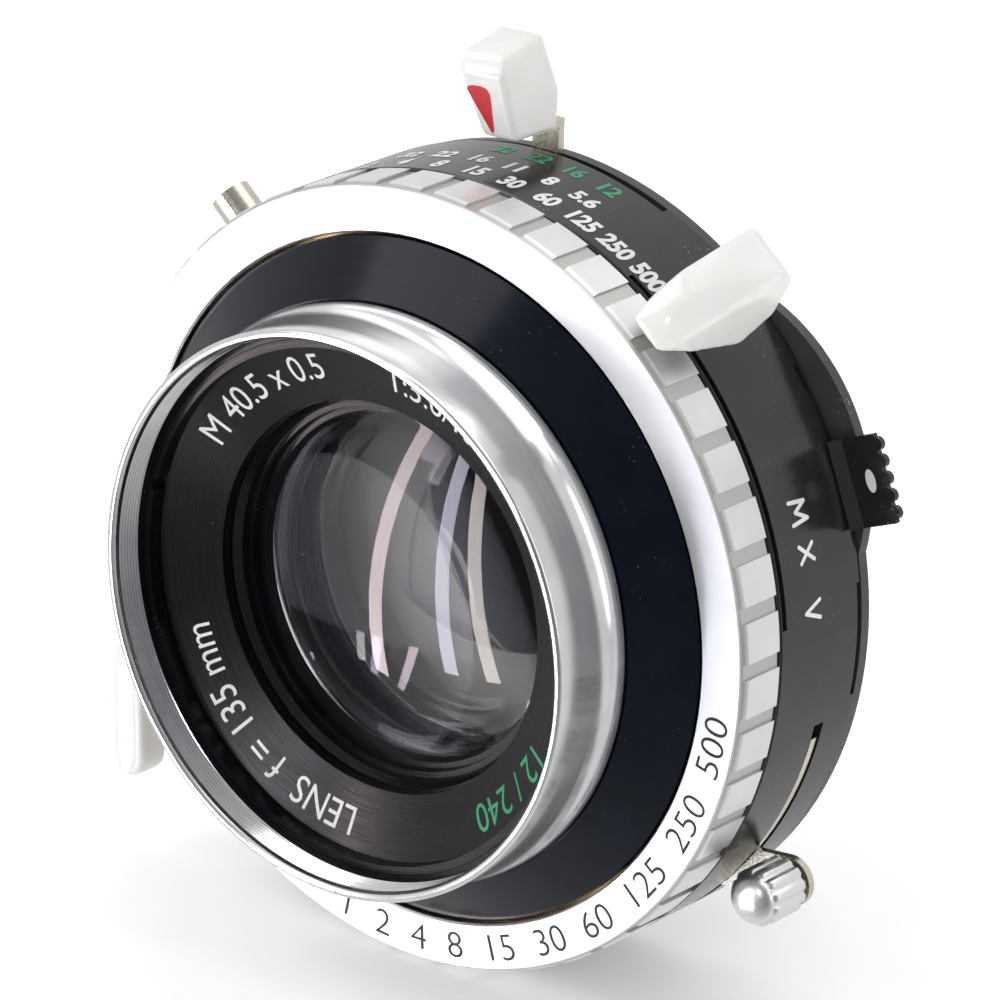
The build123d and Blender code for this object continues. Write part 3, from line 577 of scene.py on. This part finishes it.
def on_knob_front(x, z, lift=0.0):
    """Point on the sloping front face of the aperture grip."""
    share = (z - KNOB_FRONT_FOOT[1]) / (KNOB_FRONT_TOP[1] - KNOB_FRONT_FOOT[1])
    return (x, KNOB_FRONT_FOOT[0] + share * (KNOB_FRONT_TOP[0] - KNOB_FRONT_FOOT[0]) - lift, z)


aperture_grip = moulding(
    "aperture_grip",
    [
        (-0.4, *KNOB_FRONT_FOOT), (2.85, *KNOB_FRONT_FOOT), (2.85, -2.2, 31.3), (-0.4, -2.2, 31.3),
        (-1.25, *KNOB_FRONT_TOP), (2.95, *KNOB_FRONT_TOP), (-1.15, -8.3, 37.8), (2.85, -8.2, 38.0),
        (-1.2, -3.9, 38.75), (2.9, -3.9, 38.75), (-1.1, -2.0, 34.3), (2.95, -2.0, 34.3),
    ],
    as_given, "white_plastic", "aperture_ring",
)
stands_for(aperture_grip, "aperture_knob")
moulding(
    "aperture_grip_rib",
    [
        on_knob_front(x, z, lift)
        for x, z, lift in (
            (1.75, 36.5, 0.22), (2.7, 36.5, 0.22), (2.25, 31.6, 0.12), (2.6, 31.6, 0.12),
            (1.6, 36.7, -0.3), (2.8, 36.7, -0.3), (2.15, 31.5, -0.3), (2.7, 31.5, -0.3),
        )
    ],
    as_given, "white_plastic", "aperture_ring", 0.06, 6,
)

cocking_grip = moulding(
    "cocking_grip",
    both_sides([
        (-16.0, 31.3, 1.45), (-15.2, 33.4, 0.5), (-14.6, 33.2, 1.9), (-13.9, 35.1, 0.2),
        (-13.0, 35.2, 2.1), (-7.6, 38.1, 2.15), (-6.3, 37.2, 2.3), (-6.1, 33.8, 3.0),
        (-8.0, 31.3, 3.25), (-12.5, 31.2, 2.5),
    ]),
    radial_place(COCKING_ANGLE), "white_plastic", "cocking_lever",
)
stands_for(cocking_grip, "cocking_tip")

PREVIEW_X = -30.9
PREVIEW_HALF_WIDTH = 1.5
PREVIEW_TOP = -14.6
PREVIEW_BOTTOM = -22.3
PREVIEW_DEPTHS = (-12.2, -9.2)


def capsule_points(steps=10):
    """Outline of the preview tip from the front, a strip with a rounded end at each side."""
    points = []
    for centre, first in ((PREVIEW_TOP, 0), (PREVIEW_BOTTOM, 180)):
        for step in range(steps + 1):
            turn = radians(first + 180 * step / steps)
            x = PREVIEW_X + PREVIEW_HALF_WIDTH * cos(turn)
            points.append((x, centre + PREVIEW_HALF_WIDTH * sin(turn)))
    return points


preview_grip = moulding(
    "preview_grip",
    [(x, y, z) for x, z in capsule_points() for y in PREVIEW_DEPTHS],
    as_given, "white_plastic", "preview_lever",
)
stands_for(preview_grip, "preview_tip")


def patch(name, corners, material, body):
    """Thin painted patch with the given outline in millimetres."""
    mesh = bpy.data.meshes.new(name)
    mesh.from_pydata([[value * MM for value in corner] for corner in corners], [], [range(len(corners))])
    return keep(name, mesh, material, body, False)


patch(
    "stop_pointer",
    [
        on_knob_front(x, z, PAINT_LIFT)
        for x, z in (
            (-0.72, 34.95), (-0.62, 35.2), (-0.1, 35.38), (0.6, 35.42), (1.12, 35.3), (1.32, 34.95),
            (1.3, 34.4), (0.95, 31.95), (0.78, 31.7), (0.62, 31.85),
        )
    ],
    "red_paint", "aperture_ring",
)

SYNC_FACE_Y = -1.55
SYNC_DOT_R = 32.05
SYNC_DOT_STEPS = 24


def sync_dot_points():
    """Oval on the front face of the sync tab, longer across the tab than along the radius."""
    place = radial_place(SYNC_ANGLE)
    turns = [2 * pi * step / SYNC_DOT_STEPS for step in range(SYNC_DOT_STEPS)]
    return [
        place(SYNC_FACE_Y - PAINT_LIFT, SYNC_DOT_R + 0.42 * cos(turn), 0.85 * sin(turn))
        for turn in turns
    ]


patch("sync_dot", sync_dot_points(), "white_paint", "sync_lever")

# ------------------------------------------------------------- release knob

FLUTES = 12
FLUTE_STEPS = 12
FLUTE_DEPTH = 0.2
KNOB_STEPS = FLUTES * FLUTE_STEPS
DOME_SHARE = 0.86
DOME_FOOT_Y = -9.35
DOME_HEIGHT = 0.95
DOME_LEVELS = 10


def flute_cut(angle):
    """How deep the flutes are at an angle, 0 on the lands between them."""
    ripple = 0.5 + 0.5 * cos(FLUTES * angle)
    return FLUTE_DEPTH * max(0.0, ripple - 0.35) / 0.65


def knob_rings():
    """Rows of (radius, y, fluted) from the knob's foot to the top of its dome."""
    sides = [(0.55, -5.9), (0.98, -5.9), (1.0, -6.05), (1.0, -9.0), (0.93, -9.25)]
    rows = [(RELEASE_KNOB_R * share, y, share > 0.9) for share, y in sides]
    for level in range(DOME_LEVELS):
        bend = radians(90 * level / DOME_LEVELS)
        y = DOME_FOOT_Y - DOME_HEIGHT * sin(bend)
        rows.append((RELEASE_KNOB_R * DOME_SHARE * cos(bend), y, False))
    return rows


def release_button():
    """Fluted knob with a low dome, its axis along Y."""
    build = bmesh.new()
    rings = []
    for radius, y, fluted in knob_rings():
        row = []
        for step in range(KNOB_STEPS):
            angle = 2 * pi * step / KNOB_STEPS
            r = radius - (flute_cut(angle) if fluted else 0.0)
            x = RELEASE_KNOB[0] + r * cos(angle)
            z = RELEASE_KNOB[1] + r * sin(angle)
            row.append(build.verts.new((x * MM, y * MM, z * MM)))
        rings.append(row)
    for lower, upper in zip(rings, rings[1:]):
        for step in range(KNOB_STEPS):
            after = (step + 1) % KNOB_STEPS
            build.faces.new([lower[step], lower[after], upper[after], upper[step]])
    build.faces.new(rings[0])
    build.faces.new(rings[-1])
    bmesh.ops.recalc_face_normals(build, faces=build.faces)
    mesh = bpy.data.meshes.new("release_button")
    build.to_mesh(mesh)
    build.free()
    obj = keep("release_button", mesh, "satin_chrome", "release_lever")
    mesh.set_sharp_from_angle(angle=radians(35))
    return obj


stands_for(release_button(), "release_knob")

# ----------------------------------------------------------------- markings

# Edges of a figure longer than this, in the typeface's own units, are cut so that they can bend
LONGEST_EDGE = 0.25


def marking(name, text, height, place, material, body, bold=0.0, squeeze=1.0):
    """Painted figures, bent onto the surface that place(along, up) describes."""
    curve = bpy.data.curves.new(name, "FONT")
    curve.body = text
    curve.align_x = "CENTER"
    curve.offset = bold
    curve.resolution_u = 4
    holder = bpy.data.objects.new(name + "_source", curve)
    scene.collection.objects.link(holder)
    bpy.context.view_layer.update()
    mesh = bpy.data.meshes.new_from_object(holder.evaluated_get(bpy.context.evaluated_depsgraph_get()))
    bpy.data.objects.remove(holder)
    bpy.data.curves.remove(curve)
    mesh.name = name
    low = min(vertex.co.y for vertex in mesh.vertices)
    high = max(vertex.co.y for vertex in mesh.vertices)
    scale = height / (high - low)
    build = bmesh.new()
    build.from_mesh(mesh)
    bmesh.ops.triangulate(build, faces=build.faces)
    long_edges = [edge for edge in build.edges if edge.calc_length() > LONGEST_EDGE]
    bmesh.ops.subdivide_edges(build, edges=long_edges, cuts=2)
    for vertex in build.verts:
        along = vertex.co.x * scale * squeeze
        up = (vertex.co.y - (low + high) / 2) * scale
        vertex.co = Vector(place(along, up)) * MM
    bmesh.ops.triangulate(build, faces=build.faces)
    build.to_mesh(mesh)
    build.free()
    return keep(name, mesh, material, body, False)


def on_case(angle, y, radius=CASE_R):
    """Writing round the case, read clockwise with its top toward the rear."""
    def place(along, up):
        turn = radians(angle) - along / radius
        lifted = radius + PAINT_LIFT
        return (lifted * cos(turn), y + up, lifted * sin(turn))
    return place


def on_face(angle, radius, depth, slope=0.0, inward=False):
    """Writing on a face across the axis; slope is how far y falls for each mm outward."""
    def place(along, up):
        if inward:
            r = radius - up
            turn = radians(angle) + along / radius
        else:
            r = radius + up
            turn = radians(angle) - along / radius
        return (r * cos(turn), depth - slope * (r - radius) - PAINT_LIFT, r * sin(turn))
    return place


SPEEDS = ("500", "250", "125", "60", "30", "15", "8", "4", "2", "1", "B")
SPEED_FIRST = 56.7
SPEED_STEP = 6.4
SPEED_Y = -8.85
SPEED_HEIGHT = 1.9
CASE_BOLD = 0.042
for number, speed in enumerate(SPEEDS):
    marking(
        f"speed_{speed}", speed, SPEED_HEIGHT, on_case(SPEED_FIRST + number * SPEED_STEP, SPEED_Y),
        "white_paint", "shutter", CASE_BOLD, 0.74,
    )

STOP_HEIGHT = 1.65
STOPS = ("5.6", "8", "11", "16", "22", "32")
STOP_FIRST = 73.2
STOP_STEP = 6.25
STOP_Y = -6.3
REAR_STOPS = ("12", "16", "22", "32")
REAR_STOP_FIRST = 73.4
REAR_STOP_STEP = 6.2
REAR_STOP_Y = -3.5
for scale, stops, first, apart, y, colour in (
    ("stop", STOPS, STOP_FIRST, STOP_STEP, STOP_Y, "white_paint"),
    ("rear_stop", REAR_STOPS, REAR_STOP_FIRST, REAR_STOP_STEP, REAR_STOP_Y, "green_paint"),
):
    for number, stop in enumerate(stops):
        marking(
            f"{scale}_{number}", stop, STOP_HEIGHT, on_case(first + number * apart, y),
            colour, "shutter", CASE_BOLD, 0.88,
        )

STROKE_HALF = 0.15
STROKE_STACK = 0.0001
SYNC_STROKES = {
    "M": [(-0.8, -0.85), (-0.62, 0.85), (0.0, -0.35), (0.62, 0.85), (0.8, -0.85)],
    "X": [(-0.6, -0.75), (0.6, 0.75), None, (-0.6, 0.75), (0.6, -0.75)],
    "V": [(-0.65, 0.85), (0.0, -0.8), (0.65, 0.85)],
}


def strokes(name, points, place, material, body):
    """Letter drawn as round-ended strips; None in points lifts the pen.

    Each strip lies a little further out than the one before, so that no two share a plane.
    """
    build = bmesh.new()
    runs = [pair for pair in zip(points, points[1:]) if None not in pair]
    for number, (start, end) in enumerate(runs):
        run = Vector(end) - Vector(start)
        heading = atan2(run.y, run.x)
        outline = []
        for centre, first in ((start, 90), (end, -90)):
            for step in range(9):
                turn = heading + radians(first + 22.5 * step)
                along = centre[0] + STROKE_HALF * cos(turn)
                outline.append((along, centre[1] + STROKE_HALF * sin(turn)))
        corners = []
        for along, up in outline:
            spot = Vector(place(along, up)) * (1 + STROKE_STACK * number)
            corners.append(build.verts.new(spot * MM))
        build.faces.new(corners)
    bmesh.ops.triangulate(build, faces=build.faces)
    mesh = bpy.data.meshes.new(name)
    build.to_mesh(mesh)
    build.free()
    return keep(name, mesh, material, body, False)


SYNC_LETTER_Y = -6.9
for letter, angle in (("M", 18.6), ("X", 12.8), ("V", 4.6)):
    strokes(
        f"sync_{letter}", SYNC_STROKES[letter], on_case(angle, SYNC_LETTER_Y), "white_paint", "shutter"
    )

RING_TEXT_HEIGHT = 2.0
NAME_R = 17.3
NAME_Y = NAME_RING_IN_Y - NAME_RING_SLOPE * (NAME_R - NAME_RING_IN_R)
for name, text, angle, colour in (
    ("ring_focal", "LENS  f = 135 mm", -128.0, "white_paint"),
    ("ring_thread", "M 40.5 x 0.5", 126.0, "white_paint"),
    ("ring_stop", "1:5.6/135", 67.0, "white_paint"),
    ("ring_rear_stop", "12 / 240", -40.0, "green_paint"),
):
    marking(
        name, text, RING_TEXT_HEIGHT, on_face(angle, NAME_R, NAME_Y, NAME_RING_SLOPE),
        colour, "shutter", 0.0, 0.95,
    )

RING_SCALE_ANGLE = -56.5
RING_SCALE_R = 27.45
marking(
    "ring_scale", "1  2  4  8  15  30  60  125  250  500", RING_TEXT_HEIGHT,
    on_face(RING_SCALE_ANGLE, RING_SCALE_R, RING_FACE_Y, 0.0, True),
    "black_paint", "speed_ring", -0.01, 1.1,
)

# ------------------------------------------------------- light and surroundings


LENS_MIDDLE = (0, -0.012, 0)
STRIP_DISTANCE = 0.8
STRIP_WIDTH = 0.042


def lamp(name, width, length, power, colour=(1, 1, 1)):
    """Rectangular light, still to be placed."""
    data = bpy.data.lights.new(name, "AREA")
    data.shape = "RECTANGLE"
    data.size = width
    data.size_y = length
    data.energy = power
    data.color = colour
    light = bpy.data.objects.new(name, data)
    scene.collection.objects.link(light)
    return light


def area_light(name, spot, size, power):
    """Soft light at a spot in metres, facing the middle of the lens."""
    light = lamp(name, *size, power)
    light.location = spot
    light.rotation_euler = (Vector(LENS_MIDDLE) - Vector(spot)).to_track_quat("-Z", "Y").to_euler()


area_light("key", (-0.35, -0.40, 0.55), (0.45, 0.45), 1.25)
area_light("top", (0.15, 0.15, 0.7), (0.6, 0.6), 1.3)
area_light("side", (0.7, 0.05, 0.2), (0.12, 0.6), 0.5)
area_light("fill", (0.15, -0.80, 0.25), (0.15, 0.15), 0.6)


def strip_light(name, top, bottom, power, colour):
    """Long narrow light between two directions, for the curved lines in the front glass."""
    first = Vector(top) * STRIP_DISTANCE
    last = Vector(bottom) * STRIP_DISTANCE
    light = lamp(name, STRIP_WIDTH, (first - last).length, power, colour)
    middle = (first + last) / 2
    facing = middle.normalized()
    along = (first - last).normalized()
    side = along.cross(facing).normalized()
    turn = Matrix((side, along, facing)).transposed()
    light.matrix_world = Matrix.Translation(middle) @ turn.to_4x4()


strip_light("strip_pink", (-0.51, -0.835, 0.205), (-0.635, -0.524, -0.568), 1.5, (1.0, 0.84, 0.84))
strip_light("strip_blue", (-0.354, -0.919, 0.162), (-0.395, -0.734, -0.552), 1.4, (0.84, 0.86, 1.0))
strip_light("strip_warm", (-0.279, -0.953, 0.112), (-0.246, -0.789, -0.564), 1.4, (1.0, 0.96, 0.88))

# The surroundings are white behind the lens and darken toward the camera
CAMERA_SIDE = (0.5, -0.78, 0.1)
world = bpy.data.worlds.new("studio")
world.use_nodes = True
scene.world = world
sky = world.node_tree
direction = sky.nodes.new("ShaderNodeTexCoord")
camera_side = sky.nodes.new("ShaderNodeVectorMath")
camera_side.operation = "DOT_PRODUCT"
camera_side.inputs[1].default_value = CAMERA_SIDE
sky.links.new(direction.outputs["Generated"], camera_side.inputs[0])
shade = sky.nodes.new("ShaderNodeValToRGB")
shade.color_ramp.elements[0].position = 0.1
shade.color_ramp.elements[0].color = (1.0, 1.0, 1.0, 1)
shade.color_ramp.elements[1].position = 0.93
shade.color_ramp.elements[1].color = (0.22, 0.225, 0.24, 1)
sky.links.new(camera_side.outputs["Value"], shade.inputs["Fac"])
sky.links.new(shade.outputs["Color"], sky.nodes["Background"].inputs["Color"])
sky.nodes["Background"].inputs["Strength"].default_value = 0.8

FLOOR_SIZE = 6.0
FLOOR_GAP = 0.0005
bpy.ops.mesh.primitive_plane_add(size=FLOOR_SIZE, location=(0, 0, cad_box[0].z - FLOOR_GAP))
floor = bpy.context.object
floor.name = "floor"
floor.data.materials.append(
    finish_of(
        "floor_paper", (0.90, 0.90, 0.90), (0.93, 0.93, 0.93), (0.8, 0.95), grain=0.5, bump=0.0,
        Emission_Color=(1, 1, 1, 1), Emission_Strength=0.3,
    )
)
floor.visible_glossy = False

scene.view_settings.view_transform = "Standard"
